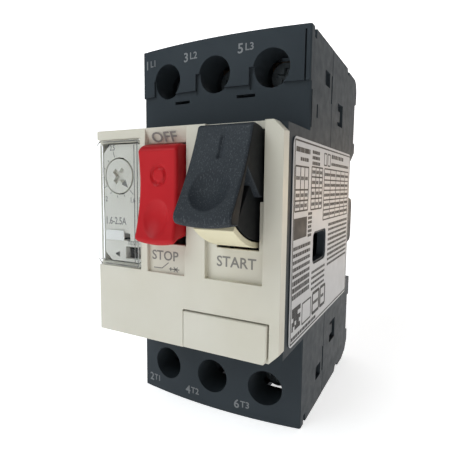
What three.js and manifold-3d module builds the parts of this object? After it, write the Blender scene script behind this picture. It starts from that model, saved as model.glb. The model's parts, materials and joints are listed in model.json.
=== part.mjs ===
// A three-pole motor protection breaker: a rail-mounted, push-button circuit breaker.
//
// Millimetres, +Z up, the front faces -Y. Inside this file a place is written as x, d and z, where d is the
// distance forward of the rear plane. The whole breaker is moved back at the end, so that its origin is the
// middle of the bottom of its bounding box.

import * as THREE from 'three';
import { mergeVertices } from 'three/addons/utils/BufferGeometryUtils.js';
import Module from 'manifold-3d';

const wasm = await Module();
wasm.setup();

// ---------------------------------------------------------------- driving dimensions

const WIDTH = 44.5;
const HEIGHT = 89;
const DEPTH = 78; // rear plane to the START button's lip
const COVER_FRONT = 66; // d of the cover's face
const TERMINAL_FRONT = 51.8; // d of the terminal faces on the centre line
const TERMINAL_BOW = 1.95; // how far the terminal faces fall back at the sides
const SEAM = 31; // d where the two housings meet
const POLE_PITCH = 13.8;
const SCREW_INSET = 8.2; // terminal screw axis to the top or bottom
const WALL = 2;
const GAP = 0.3; // clearance between pieces that touch
const PAST = 1; // how far a cutting block runs past the face that it cuts

const COVER = { width: 45.2, bottom: 21, top: 67.3, plate: 2.1, skirt: 2.9, rim: 1.1, chamfer: 2.6 };
const MIDDLE = { bottom: 21.3, top: 67.2 }; // the housing's raised middle section
const PIN = { d: 61.9, z: 64, radius: 0.8, bore: 1.15 }; // both push buttons turn on this line
const START = {
  left: 6.9, right: 18.4, topD: 69.7, topZ: 66.5, lipZ: 50.4, bottomZ: 48.4, thick: 3, lug: 1.7,
};
const STOP = { left: -8.4, right: 1.5, topZ: 63.6, bottomZ: 43.7, topD: 69, bottomD: 70.3, lug: 1.7 };
const DIAL = { x: -17, z: 57.2, radius: 3.9 };
const WINDOW = { right: -10.35, bottom: 36.8, top: 65.1 };
const FLAP = { left: 1.3, right: 20.2, bottom: 21.2, top: 29 };
const RAIL = { bottom: 30, top: 65, depth: 7.8, mouth: 26 };
const SOCKET = { d: 39.5, z: 41.2, length: 10.6, height: 6.6, radius: 1.6, depth: 4 };
const OPEN_GAP = 3.3; // open contact gap

const poles = [-POLE_PITCH, 0, POLE_PITCH];
const halfWidth = WIDTH / 2;

// ---------------------------------------------------------------- materials

const finishes = {
  blackBody: { color: 0x2f353c, roughness: 0.55, metalness: 0 },
  cream: { color: 0xd8d3c6, roughness: 0.45, metalness: 0 },
  creamInsert: { color: 0xe3d3a8, roughness: 0.5, metalness: 0 },
  startBlack: { color: 0x2b3138, roughness: 0.5, metalness: 0 },
  stopRed: { color: 0xc4202a, roughness: 0.4, metalness: 0 },
  clear: { color: 0xdfe6ea, roughness: 0.08, metalness: 0 },
  label: { color: 0xb9b9ba, roughness: 0.5, metalness: 0 },
  steel: { color: 0xa8abad, roughness: 0.35, metalness: 1 },
  copper: { color: 0xb8764a, roughness: 0.35, metalness: 1 },
  white: { color: 0xe6e4de, roughness: 0.5, metalness: 0 },
};

// ---------------------------------------------------------------- solids

function solid(geometry) {
  const bare = geometry.clone();
  bare.deleteAttribute('normal');
  bare.deleteAttribute('uv');
  const merged = mergeVertices(bare, 1e-4);
  const vertProperties = Float32Array.from(merged.attributes.position.array);
  const triVerts = Uint32Array.from(merged.index.array);
  return new wasm.Manifold(new wasm.Mesh({ numProp: 3, vertProperties, triVerts }));
}

const join = (first, ...rest) => rest.reduce((sum, next) => sum.add(next), first);
const cut = (first, ...rest) => rest.reduce((left, next) => left.subtract(next), first);

// A block between two corners, each range given as [low, high].
function block(x, d, z) {
  const geometry = new THREE.BoxGeometry(x[1] - x[0], d[1] - d[0], z[1] - z[0]);
  geometry.translate((x[0] + x[1]) / 2, -(d[0] + d[1]) / 2, (z[0] + z[1]) / 2);
  return solid(geometry);
}

function extruded(shape, depth, basis, segments = 10) {
  const options = { depth, bevelEnabled: false, curveSegments: segments };
  return solid(new THREE.ExtrudeGeometry(shape, options).applyMatrix4(basis));
}

// A side profile in (d, z), run along x.
function alongX(shape, x, segments) {
  const basis = new THREE.Matrix4().set(0, 0, -1, x[1], -1, 0, 0, 0, 0, 1, 0, 0, 0, 0, 0, 1);
  return extruded(shape, x[1] - x[0], basis, segments);
}

// A front outline in (x, z), run along d.
function alongD(shape, d, segments) {
  const basis = new THREE.Matrix4().set(1, 0, 0, 0, 0, 0, -1, -d[0], 0, 1, 0, 0, 0, 0, 0, 1);
  return extruded(shape, d[1] - d[0], basis, segments);
}

// A plan outline in (x, -d), run along z.
function alongZ(shape, z, segments) {
  const basis = new THREE.Matrix4().makeTranslation(0, 0, z[0]);
  return extruded(shape, z[1] - z[0], basis, segments);
}

function polygon(points) {
  return new THREE.Shape(points.map(([a, b]) => new THREE.Vector2(a, b)));
}

function disc(a, b, radius) {
  return new THREE.Shape().absarc(a, b, radius, 0, Math.PI * 2);
}

function roundedRect(low, high, radius) {
  const shape = new THREE.Shape();
  shape.absarc(low[0] + radius, low[1] + radius, radius, Math.PI, Math.PI * 1.5);
  shape.absarc(high[0] - radius, low[1] + radius, radius, Math.PI * 1.5, Math.PI * 2);
  shape.absarc(high[0] - radius, high[1] - radius, radius, 0, Math.PI / 2);
  shape.absarc(low[0] + radius, high[1] - radius, radius, Math.PI / 2, Math.PI);
  return shape;
}

// A ring sector about the button pin, in (d, z). Angles are measured forward from straight down.
function pinSector(inner, outer, from, to) {
  const start = -Math.PI / 2 + THREE.MathUtils.degToRad(from);
  const end = -Math.PI / 2 + THREE.MathUtils.degToRad(to);
  const shape = new THREE.Shape();
  shape.absarc(PIN.d, PIN.z, outer, start, end);
  shape.absarc(PIN.d, PIN.z, inner, end, start, true);
  return shape;
}

// A coil spring about an axis, as round wire swept along a helix.
class Helix extends THREE.Curve {
  constructor(radius, turns, length) {
    super();
    Object.assign(this, { radius, turns, length });
  }

  getPoint(t) {
    const angle = t * this.turns * Math.PI * 2;
    return new THREE.Vector3(this.radius * Math.cos(angle), this.radius * Math.sin(angle), t * this.length);
  }
}

function spring(radius, wire, turns, length) {
  const extrudePath = new Helix(radius, turns, length);
  return new THREE.ExtrudeGeometry(disc(0, 0, wire), { steps: turns * 9, extrudePath, curveSegments: 2 });
}

const breaker = new THREE.Group();
breaker.position.y = DEPTH / 2;

function add(name, finish, manifold) {
  const { vertProperties, triVerts } = manifold.getMesh();
  const geometry = new THREE.BufferGeometry();
  geometry.setAttribute('position', new THREE.BufferAttribute(Float32Array.from(vertProperties), 3));
  geometry.setIndex(new THREE.BufferAttribute(Uint32Array.from(triVerts), 1));
  geometry.computeVertexNormals();
  const mesh = new THREE.Mesh(geometry, new THREE.MeshStandardMaterial(finishes[finish]));
  mesh.name = name;
  breaker.add(mesh);
}

// What is done at the top terminals is repeated upside down at the bottom ones.
const upsideDown = (manifold) => manifold.mirror([0, 0, 1]).translate([0, 0, HEIGHT]);
const bothEnds = (manifold) => join(manifold, upsideDown(manifold));
const bothSides = (manifold) => join(manifold, manifold.mirror([1, 0, 0]));

// ---------------------------------------------------------------- rear housing

const SIDE_WALL = 1.8;
const REAR_FLOOR = RAIL.depth + WALL; // d of the inside of the rear wall
const PARTITION = 1.4;
const partitions = [-POLE_PITCH / 2, POLE_PITCH / 2];
const insideWidth = [-halfWidth + SIDE_WALL, halfWidth - SIDE_WALL];

// Recesses in the side walls, each given by its depth and its ranges.
const LATCH_POCKET = { depth: 1.2, d: [18.6, 24.6], z: [71.6, 77.4] };
const LATCH_HOLE = { depth: 2, left: 0.3, d: [20.6, 26], z: [72.8, 75.6] };
const HOOK_RECESS = { depth: 1, d: [-PAST, 1.9], z: [69, 81] };
const CARRIER_WAY = { d: 20.5, z: [39.5, 49.5] }; // cut through the partitions
const CLIP_WAY = { half: 6.3, floor: 1.6, guideHalf: 7.5, guideD: [1.5, 3.9], guideBottom: 2 };
const SPRING_SHELF = { half: 6.5, d: 3.4, top: 1.1 };

// A recess in the right side wall.
function sideRecess({ depth, d, z }) {
  return block([halfWidth - depth, halfWidth + PAST], d, z);
}

// The side outline from the bottom of the seam, round the back and the rail groove, to its top.
function rearOutline() {
  const foot = [[SEAM, 0], [17, 0], [16, 1.4], [13.5, 1.4], [12.5, 0.3], [7, 0.3], [2.4, 1.6], [0, 4.5]];
  const groove = [[0, RAIL.mouth], [RAIL.depth, RAIL.mouth], [RAIL.depth, 37.4], [1.8, 38.4], [0.8, 39.6],
    [0.8, 50], [1.8, 51.4], [RAIL.depth, 52.4], [RAIL.depth, RAIL.top], [6, RAIL.top], [5.6, 63.4],
    [4.4, 63.4]];
  const head = [[0, 66], [0, 85], [0.9, 87.2], [2.8, 88.2], [11.8, 88.4], [11.8, 87.3], [13.2, 87.3],
    [14, HEIGHT], [SEAM, HEIGHT]];
  return polygon([...foot, ...groove, ...head]);
}

function rearPartition(x) {
  const wall = block([x - PARTITION / 2, x + PARTITION / 2], [REAR_FLOOR - PAST, SEAM],
    [WALL - PAST, HEIGHT - WALL]);
  return cut(wall, block([x - PARTITION, x + PARTITION], [CARRIER_WAY.d, SEAM + PAST], CARRIER_WAY.z));
}

function rearHousing() {
  const hollow = block(insideWidth, [REAR_FLOOR, SEAM + PAST], [WALL, HEIGHT - WALL - 0.6]);
  const latchHole = block([halfWidth - LATCH_HOLE.depth, halfWidth - LATCH_HOLE.left], LATCH_HOLE.d,
    LATCH_HOLE.z);
  const latch = cut(sideRecess(LATCH_POCKET), latchHole);
  const hook = sideRecess(HOOK_RECESS);
  const clipWay = block([-CLIP_WAY.half, CLIP_WAY.half], [-PAST, RAIL.depth - CLIP_WAY.floor],
    [-PAST, RAIL.mouth + PAST]);
  const clipGuide = block([-CLIP_WAY.guideHalf, CLIP_WAY.guideHalf], CLIP_WAY.guideD,
    [CLIP_WAY.guideBottom, RAIL.mouth + PAST]);
  const springShelf = block([-SPRING_SHELF.half, SPRING_SHELF.half], [SPRING_SHELF.d, RAIL.depth],
    [0, SPRING_SHELF.top]);
  const shell = cut(alongX(rearOutline(), [-halfWidth, halfWidth]), hollow,
    bothSides(bothEnds(join(latch, hook))), clipWay, clipGuide);
  return join(shell, ...partitions.map(rearPartition), springShelf);
}

add('rear_housing', 'blackBody', rearHousing());

// ---------------------------------------------------------------- front housing

const CHAMBER_FRONT = 43; // d of the front of a terminal chamber
const SHELF = 1.6; // walls between the terminal chambers and the mechanism
const CORNER = 0.3; // chamfer on the upright front corners
const SCREW_HOLE = 4.15; // radius
const PLATE = { step: 0.6, bottom: 77.6 }; // the upper terminal face stands proud above its step
// Where the step runs down beside the holes.
const STEP_SIDE = {
  left: 4.4, right: 5.1, recess: 0.2, above: 0.6,
};
const VENT_SLOTS = { x: [[-11.6, -7.2], [5.5, 10]], d: 46, z: [75, 75.7] };
const RIM_LINE = { from: 1.35, to: PAST, d: 49.2, top: 1 };
const LIP_GROOVE = { d: [46, 47.6], z: 86.9 };
const NOTCH = { depth: 0.9, d: [33.6, 38], z: [79.2, 82.6] };
const SEAM_STEP = { depth: 0.7, d: [SEAM - 0.2, SEAM + PAST], z: [75.8, 82.6] };
const SIDE_SLOT = { depth: 0.8, d: [43.6, 44.6], z: [70.6, 73.6] };
const SIDE_LINE = { depth: 0.8, d: [48.2, 48.9], z: [68, 76] };
const WIRE_ENTRY = { half: 4.6, d: [SEAM + 1.6, 37.8] };
const FUNNEL = { half: 5, depth: 1.8, back: SEAM + 1, foot: SEAM + 2.5, head: 36.8, front: 38.6 };
// Lets the buttons' lugs turn under the top shelf.
const PIN_ROOM = {
  d: PIN.d - 2.4, z: [PIN.z, PIN.z + 2],
};
const MIDDLE_FRONT = COVER_FRONT - COVER.skirt - GAP;

// The plan outline of the terminal faces, which bow forward in the middle.
function terminalPlan(setBack = 0) {
  const back = SEAM + GAP;
  const chord = TERMINAL_FRONT - TERMINAL_BOW - setBack;
  const radius = (halfWidth ** 2 + TERMINAL_BOW ** 2) / (2 * TERMINAL_BOW);
  const half = Math.asin((halfWidth - CORNER) / radius);
  const shape = new THREE.Shape();
  shape.moveTo(-halfWidth, -back);
  shape.lineTo(-halfWidth, -chord + CORNER);
  shape.absarc(0, radius - TERMINAL_FRONT + setBack, radius, -Math.PI / 2 - half, -Math.PI / 2 + half);
  shape.lineTo(halfWidth, -chord + CORNER);
  shape.lineTo(halfWidth, -back);
  return shape;
}

// How far the bowed terminal face lies behind its middle at a place across it.
function bowAt(x) {
  return TERMINAL_BOW * (x / halfWidth) ** 2;
}

function screwHoles() {
  const d = [CHAMBER_FRONT - PAST, TERMINAL_FRONT + PAST];
  const holes = poles.map((x) => alongD(disc(x, HEIGHT - SCREW_INSET, SCREW_HOLE), d, 12));
  return bothEnds(join(...holes));
}

// The step runs down the left of each screw hole, and slots lie below it.
function faceRecesses() {
  const front = TERMINAL_FRONT + PAST;
  const beside = poles.map((x) => {
    const left = x < 0 ? STEP_SIDE.left : STEP_SIDE.right;
    const back = TERMINAL_FRONT - STEP_SIDE.recess - bowAt(x - left / 2) - PLATE.step;
    const z = [PLATE.bottom - PAST, HEIGHT - SCREW_INSET + STEP_SIDE.above];
    return block([x - left, x], [back, front], z);
  });
  const slots = VENT_SLOTS.x.map((x) => block(x, [VENT_SLOTS.d, front], VENT_SLOTS.z));
  const rimLine = block([halfWidth - RIM_LINE.from, halfWidth - RIM_LINE.to], [RIM_LINE.d, front],
    [PLATE.bottom, HEIGHT - RIM_LINE.top]);
  return [...beside, ...slots, rimLine];
}

// Each wire goes in through the top or bottom, down a funnel and into the chamber behind the screw.
function wireEntries() {
  const mouth = polygon([[FUNNEL.back, HEIGHT + GAP], [FUNNEL.foot, HEIGHT - FUNNEL.depth],
    [FUNNEL.head, HEIGHT - FUNNEL.depth], [FUNNEL.front, HEIGHT + GAP]]);
  const openings = poles.map((x) => join(
    block([x - WIRE_ENTRY.half, x + WIRE_ENTRY.half], WIRE_ENTRY.d, [HEIGHT - WALL - PAST, HEIGHT + PAST]),
    alongX(mouth, [x - FUNNEL.half, x + FUNNEL.half]),
  ));
  return bothEnds(join(...openings));
}

// The outline of the side socket in (d, z), with a margin round it.
function socketOutline(margin) {
  const half = [SOCKET.length / 2 + margin, SOCKET.height / 2 + margin];
  return roundedRect([SOCKET.d - half[0], SOCKET.z - half[1]], [SOCKET.d + half[0], SOCKET.z + half[1]],
    SOCKET.radius);
}

function frontHousing() {
  const shell = join(
    alongZ(terminalPlan(), [0, MIDDLE.bottom + PAST], 8),
    alongZ(terminalPlan(PLATE.step), [MIDDLE.bottom, HEIGHT], 8),
    alongZ(terminalPlan(), [PLATE.bottom, HEIGHT], 8),
    block([-halfWidth, halfWidth], [SEAM + GAP, MIDDLE_FRONT], [MIDDLE.bottom, MIDDLE.top]),
  );
  const chamber = block(insideWidth, [SEAM - PAST, CHAMBER_FRONT], [MIDDLE.top + SHELF, HEIGHT - WALL]);
  const room = block(insideWidth, [SEAM - PAST, COVER_FRONT], [MIDDLE.bottom + SHELF, MIDDLE.top - SHELF]);
  const pinRoom = block(insideWidth, [PIN_ROOM.d, COVER_FRONT], PIN_ROOM.z);
  const lip = block([-WIDTH, WIDTH], LIP_GROOVE.d, [LIP_GROOVE.z, HEIGHT + PAST]);
  const socket = alongX(socketOutline(0), [halfWidth - SOCKET.depth, halfWidth + PAST], 3);
  const sides = join(bothEnds(join(sideRecess(NOTCH), sideRecess(SEAM_STEP))), sideRecess(SIDE_SLOT),
    sideRecess(SIDE_LINE), socket);
  const body = cut(shell, bothEnds(chamber), room, pinRoom, bothEnds(lip), screwHoles(), ...faceRecesses(),
    bothSides(sides), wireEntries());
  const walls = partitions.map((x) => bothEnds(block([x - PARTITION / 2, x + PARTITION / 2],
    [SEAM + GAP, CHAMBER_FRONT + PAST], [MIDDLE.top + SHELF / 2, HEIGHT - PAST])));
  return join(body, ...walls);
}

add('front_housing', 'blackBody', frontHousing());

// ---------------------------------------------------------------- front cover

const COVER_HALF = COVER.width / 2;
const COVER_BACK = COVER_FRONT - COVER.skirt;
const PLATE_BACK = COVER_FRONT - COVER.plate;
const SETTING = {
  left: -21.55, right: -11, bottom: 37.7, top: 64.3, front: COVER_FRONT - 1.1, thick: 1.6,
  corner: 1.9,
};
const STOP_ZONE = { x: [-8.3, 1.35], z: [36.4, 43.5], floor: 0.9 };
const STOP_OPENING = { x: [STOP.left - GAP, STOP.right + GAP], z: [42.7, 64.1] };
const STOP_RAMP = { lip: 0.1, foot: 1.6, depth: 3, bottom: 43 }; // slopes in above the STOP button
const START_ZONE = { x: [6.3, 18.9], z: [36.5, 70], floor: 1.2 };
const START_OPENING = { x: [8.4, 17.7], z: [42.9, 65.8] };
const START_POCKET = 52.3; // z where the opening widens to take the whole button
const FLAP_HOLE = { inset: 1.5, z: [23.2, 27.8], seat: 1.2 };
const LUG = { x: [[-10.5, -9], [2.1, 3.4], [5.2, 6.4], [18.7, 20.1]], reach: 2.2 };

function coverOutline() {
  const side = COVER_HALF - COVER.chamfer;
  return polygon([[-COVER_HALF, COVER.bottom], [side, COVER.bottom],
    [COVER_HALF, COVER.bottom + COVER.chamfer], [COVER_HALF, COVER.top - 2], [COVER_HALF - 2, COVER.top],
    [-COVER_HALF, COVER.top]]);
}

// A lug on the back of the cover that carries a button's pin.
function pinLug(x) {
  const upper = block(x, [COVER_BACK, PLATE_BACK + GAP], [PIN.z - LUG.reach, COVER.top - COVER.rim]);
  const lower = block(x, [PIN.d - LUG.reach, COVER_BACK + GAP],
    [PIN.z - LUG.reach, MIDDLE.top - SHELF - GAP]);
  return join(upper, lower);
}

function coverCuts() {
  const front = COVER_FRONT + PAST;
  const windowSeat = block([-COVER_HALF - PAST, WINDOW.right + GAP / 2], [SETTING.front, front],
    [WINDOW.bottom - 0.2, WINDOW.top + 0.2]);
  const platePocket = block([SETTING.left - GAP, WINDOW.right - 0.35], [PLATE_BACK - PAST, front],
    [WINDOW.bottom + 0.6, WINDOW.top - 0.5]);
  const rampLip = COVER_FRONT + STOP_RAMP.lip;
  const rampBack = COVER_FRONT - STOP_RAMP.depth;
  const rampFoot = STOP_OPENING.z[1];
  const ramp = alongX(polygon([[rampLip, COVER.top], [COVER_FRONT - STOP_RAMP.foot, rampFoot],
    [rampBack, rampFoot], [rampBack, STOP_RAMP.bottom], [rampLip, STOP_RAMP.bottom]]), STOP_OPENING.x);
  const stopFloor = block(STOP_ZONE.x, [COVER_FRONT - STOP_ZONE.floor, front], STOP_ZONE.z);
  const stopHole = block(STOP_OPENING.x, [COVER_BACK, front], STOP_OPENING.z);
  const startFloor = block(START_ZONE.x, [COVER_FRONT - START_ZONE.floor, front], START_ZONE.z);
  const startHole = block(START_OPENING.x, [COVER_BACK, front], START_OPENING.z);
  const startPocket = block([START.left - GAP, START.right + GAP], [COVER_BACK, front],
    [START_POCKET, START_OPENING.z[1]]);
  const flapSeat = block([FLAP.left - GAP, FLAP.right + GAP], [COVER_FRONT - FLAP_HOLE.seat, front],
    [FLAP.bottom - PAST, FLAP.top + GAP]);
  const flapHole = block([FLAP.left + FLAP_HOLE.inset, FLAP.right - FLAP_HOLE.inset], [COVER_BACK, front],
    FLAP_HOLE.z);
  return [windowSeat, platePocket, ramp, stopFloor, stopHole, startFloor, startHole, startPocket, flapSeat,
    flapHole];
}

function frontCover() {
  const hollow = block([-COVER_HALF + COVER.rim, COVER_HALF - COVER.rim], [COVER_BACK - PAST, PLATE_BACK],
    [COVER.bottom + COVER.rim, COVER.top - COVER.rim]);
  const shell = cut(alongD(coverOutline(), [COVER_BACK, COVER_FRONT]), hollow);
  const pinBore = alongX(disc(PIN.d, PIN.z, PIN.bore), [-COVER_HALF / 2, COVER_HALF - COVER.rim], 6);
  return cut(join(shell, ...LUG.x.map(pinLug)), pinBore, ...coverCuts());
}

add('front_cover', 'cream', frontCover());

// The pins the two buttons turn on.
const pin = (x) => alongX(disc(PIN.d, PIN.z, PIN.radius), x, 6);
add('stop_pin', 'steel', pin([-10.4, 3.3]));
add('start_pin', 'steel', pin([5.3, 20]));

// ---------------------------------------------------------------- setting plate, dial and window

const TEST = { left: -20.9, right: -15.3, z: 43.7, height: 2.4, lift: 0.15, thick: 0.47 };
const TEST_SLOT = { x: [-19.8, -14], z: [42.6, 44.2] };
const TEST_STEM = { x: [-19.4, -16.4], back: 46.5, z: [42.95, 43.85] };
const APERTURE = { x: [-15.3, -11.9], z: [38.4, 41.2] }; // shows whether the breaker has tripped
const CROSS = { half: 1.9, width: 1.2, depth: 1, turn: 40 };
const SHAFT = { radius: 1.9, back: 56 };
const CAM = { offset: 0.7, radius: 2.4, d: [52.4, 55.7], hub: 1.4, hubD: [50, 53] };
const PANE = { back: 0.35, front: GAP, corner: 1, edge: 1.2, edgeDepth: 0.8 };

function settingPlate() {
  const d = [SETTING.front - SETTING.thick, SETTING.front];
  const through = [d[0] - PAST, d[1] + PAST];
  const corner = SETTING.left + SETTING.corner;
  const plate = alongD(polygon([[SETTING.left, SETTING.bottom + SETTING.corner], [corner, SETTING.bottom],
    [SETTING.right, SETTING.bottom], [SETTING.right, SETTING.top], [corner, SETTING.top],
    [SETTING.left, SETTING.top - SETTING.corner]]), d);
  const dialHole = alongD(disc(DIAL.x, DIAL.z, DIAL.radius + GAP), through, 12);
  const testSlot = block(TEST_SLOT.x, through, TEST_SLOT.z);
  const aperture = block(APERTURE.x, through, APERTURE.z);
  return cut(plate, dialHole, testSlot, aperture);
}

add('setting_plate', 'cream', settingPlate());

// Two crossed slots in the front of a round head, turned from upright.
function crossSlots(x, d, z, cross) {
  return [0, 90].map((quarter) => {
    const bar = block([-cross.half, cross.half], [d - cross.depth, d + PAST],
      [-cross.width / 2, cross.width / 2]);
    return bar.rotate([0, cross.turn + quarter, 0]).translate([x, 0, z]);
  });
}

function currentDial() {
  const front = SETTING.front + 0.05;
  const face = alongD(disc(DIAL.x, DIAL.z, DIAL.radius), [SETTING.front - SETTING.thick, front], 12);
  const shaft = alongD(disc(DIAL.x, DIAL.z, SHAFT.radius), [SHAFT.back, SETTING.front - PAST], 8);
  return cut(join(face, shaft), ...crossSlots(DIAL.x, SETTING.front, DIAL.z, CROSS));
}

add('current_dial', 'cream', currentDial());

const cam = join(alongD(disc(DIAL.x + CAM.offset, DIAL.z, CAM.radius), CAM.d, 8),
  alongD(disc(DIAL.x, DIAL.z, CAM.hub), CAM.hubD, 6));
add('dial_cam', 'white', cam);

function testSlider() {
  const stem = block(TEST_STEM.x, [TEST_STEM.back, SETTING.front + GAP], TEST_STEM.z);
  const back = SETTING.front + TEST.lift;
  const knob = block([TEST.left, TEST.right], [back, back + TEST.thick],
    [TEST.z - TEST.height / 2, TEST.z + TEST.height / 2]);
  return join(stem, knob);
}

add('test_slider', 'cream', testSlider());

function windowCover() {
  const left = -COVER_HALF + PANE.corner;
  const outline = polygon([[-COVER_HALF, WINDOW.bottom + PANE.corner], [left, WINDOW.bottom],
    [WINDOW.right, WINDOW.bottom], [WINDOW.right, WINDOW.top], [left, WINDOW.top],
    [-COVER_HALF, WINDOW.top - PANE.corner]]);
  const pane = alongD(outline, [COVER_FRONT - PANE.back, COVER_FRONT + PANE.front]);
  const edge = block([-COVER_HALF, -COVER_HALF + PANE.edge], [COVER_FRONT - PANE.edgeDepth, COVER_FRONT],
    [WINDOW.bottom + PANE.corner, WINDOW.top - PANE.corner]);
  return join(pane, edge);
}

add('window_cover', 'clear', windowCover());

// ---------------------------------------------------------------- push buttons

// The STOP button's stem reaches the latch.
const STEM = {
  x: [-4.6, -2.2], d: [50.5, 61], z: [45.5, 48.5],
};
const STOP_BACK = 60.4;
const FLARE = { waist: 0.25, z: 45, corner: 0.5, bow: 0.6 }; // the STOP button widens at its lower end
const ARM = { inset: 0.4, d: [60.3, 64.8], z: [58, 63.4] };
const SKIRT = { x: [8.9, 17.2], inner: 6.8, outer: 19.3, from: -8, to: 37.5 };
const SKIRT_ROOM = { x: [8.6, 17.5], inner: 6.5, from: -20, to: 38.6 };
const INSERT = { x: [9, 17.1], inner: 19.6, outer: 20.75, from: -12, to: 37.6 };
const PUSHER = { x: [11, 15], d: [47, 60], z: [48.5, 51.5] };

// The boss and the bore by which a button hangs on its pin.
function pinBoss(button) {
  return alongX(disc(PIN.d, PIN.z, button.lug), [button.left + 0.2, button.right - 0.2], 6);
}

function pinHole(button) {
  return alongX(disc(PIN.d, PIN.z, PIN.bore), [button.left - PAST, button.right + PAST], 6);
}

function stopProfile() {
  const shape = new THREE.Shape();
  shape.moveTo(STOP.topD - 5.5, STOP.topZ);
  shape.lineTo(STOP.topD - 0.9, STOP.topZ);
  shape.lineTo(STOP.topD, STOP.topZ - 1.6);
  shape.quadraticCurveTo(STOP.topD - 0.9, 53, STOP.bottomD, STOP.bottomZ + 1);
  shape.lineTo(STOP.bottomD - 0.4, STOP.bottomZ);
  shape.lineTo(STOP_BACK + 2, STOP.bottomZ + 0.4);
  shape.lineTo(STOP_BACK, STOP.bottomZ + 1.5);
  shape.lineTo(STOP_BACK, 60);
  return shape;
}

function stopButton() {
  const body = alongX(stopProfile(), [STOP.left, STOP.right], 8);
  const middle = (STOP.left + STOP.right) / 2;
  const cornerZ = STOP.bottomZ + FLARE.corner;
  const front = polygon([[STOP.left + FLARE.waist, 70], [STOP.left, FLARE.z],
    [STOP.left + FLARE.corner, cornerZ],
    [middle, STOP.bottomZ - FLARE.bow], [STOP.right - FLARE.corner, cornerZ], [STOP.right, FLARE.z],
    [STOP.right - FLARE.waist, 70]]);
  const shaped = body.intersect(alongD(front, [STOP_BACK - PAST, DEPTH]));
  return cut(join(shaped, pinBoss(STOP), block(STEM.x, STEM.d, STEM.z)), pinHole(STOP));
}

add('stop_button', 'stopRed', stopButton());

function startProfile() {
  const shape = new THREE.Shape();
  shape.moveTo(START.topD, START.topZ);
  shape.quadraticCurveTo(DEPTH - 5.6, 58.6, DEPTH, START.lipZ);
  shape.lineTo(DEPTH - 0.25, START.bottomZ + 0.4);
  shape.lineTo(DEPTH - START.thick, START.bottomZ + GAP);
  shape.lineTo(71.9, 58.6);
  shape.lineTo(66.4, 53.2);
  shape.lineTo(64.6, 53.2);
  shape.lineTo(64.2, 65.3);
  shape.lineTo(66.6, 65.4);
  shape.lineTo(67.2, START.topZ);
  return shape;
}

function startButton() {
  const body = alongX(startProfile(), [START.left, START.right], 8);
  const arm = block([START.left + ARM.inset, START.right - ARM.inset], ARM.d, ARM.z);
  const room = pinSector(SKIRT_ROOM.inner, INSERT.outer + GAP, SKIRT_ROOM.from, SKIRT_ROOM.to);
  return cut(join(body, pinBoss(START), arm), pinHole(START), alongX(room, SKIRT_ROOM.x, 8));
}

add('start_button', 'startBlack', startButton());

const skirt = alongX(pinSector(SKIRT.inner, SKIRT.outer, SKIRT.from, SKIRT.to), SKIRT.x, 8);
add('start_plunger', 'blackBody', join(skirt, block(PUSHER.x, PUSHER.d, PUSHER.z)));

const insert = pinSector(INSERT.inner, INSERT.outer, INSERT.from, INSERT.to);
add('start_insert', 'creamInsert', alongX(insert, INSERT.x, 10));

// ---------------------------------------------------------------- blanking flap

const FLAP_PLATE = { back: 0.9, front: 0.35, corner: 1.2 };
// Measured back from the face and down from the top.
const CATCH = {
  x: [9, 12.5], d: [3.2, 0.5], z: [3.4, 2.2],
};

function auxiliaryFlap() {
  const outline = polygon([[FLAP.left, FLAP.bottom], [FLAP.right - FLAP_PLATE.corner / 2, FLAP.bottom],
    [FLAP.right, FLAP.bottom + FLAP_PLATE.corner], [FLAP.right, FLAP.top], [FLAP.left, FLAP.top]]);
  const plate = alongD(outline, [COVER_FRONT - FLAP_PLATE.back, COVER_FRONT + FLAP_PLATE.front]);
  const catchHook = block(CATCH.x, CATCH.d.map((back) => COVER_FRONT - back),
    CATCH.z.map((down) => FLAP.top - down));
  return join(plate, catchHook);
}

add('auxiliary_flap', 'cream', auxiliaryFlap());

// ---------------------------------------------------------------- side label

const LABEL = { low: [7, 22.6], high: [60.2, 65], radius: 1.6, lift: 0.13, thick: 0.17, margin: 0.5 };

function sideLabel() {
  const x = halfWidth + LABEL.lift;
  const plate = alongX(roundedRect(LABEL.low, LABEL.high, LABEL.radius), [x, x + LABEL.thick], 4);
  return cut(plate, alongX(socketOutline(LABEL.margin), [halfWidth - PAST, halfWidth + PAST], 4));
}

add('side_label', 'label', sideLabel());

// ---------------------------------------------------------------- terminals

const SCREW = { head: 3.3, headD: [39.9, 42.4], shank: 1.9, tip: 30.4 };
const DRIVE = { half: 2.1, width: 1, depth: 1.3, turn: 15 };
const TAB = { d: [38.3, 39.5], half: 4.2, inner: 6.2, outer: 4.4 };
const CLAMP = { back: 30, half: 5.3, wall: 0.9, travel: 2.1, inner: 4.4, outer: 3.6 };
const CONDUCTOR = { half: 2.5, thick: 1.2 };
const CONTACT = { d: [14, 15.2], pad: 1.8, padD: [15, 16] }; // the fixed contacts face forward
const LINE_PAD = 57.5; // z of the fixed contacts
const LOAD_PAD = 31.5;

// The hole that lets a terminal screw's shank through.
function shankBore(x, z) {
  return alongD(disc(x, z, SCREW.shank + GAP), [CLAMP.back, TAB.d[1] + CHAMBER_FRONT - TAB.d[0]], 8);
}

function terminalScrew(x) {
  const z = HEIGHT - SCREW_INSET;
  const head = alongD(disc(x, z, SCREW.head), SCREW.headD, 10);
  const shank = alongD(disc(x, z, SCREW.shank), [SCREW.tip, SCREW.headD[0] + GAP], 6);
  return cut(join(head, shank), ...crossSlots(x, SCREW.headD[1], z, DRIVE));
}

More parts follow.
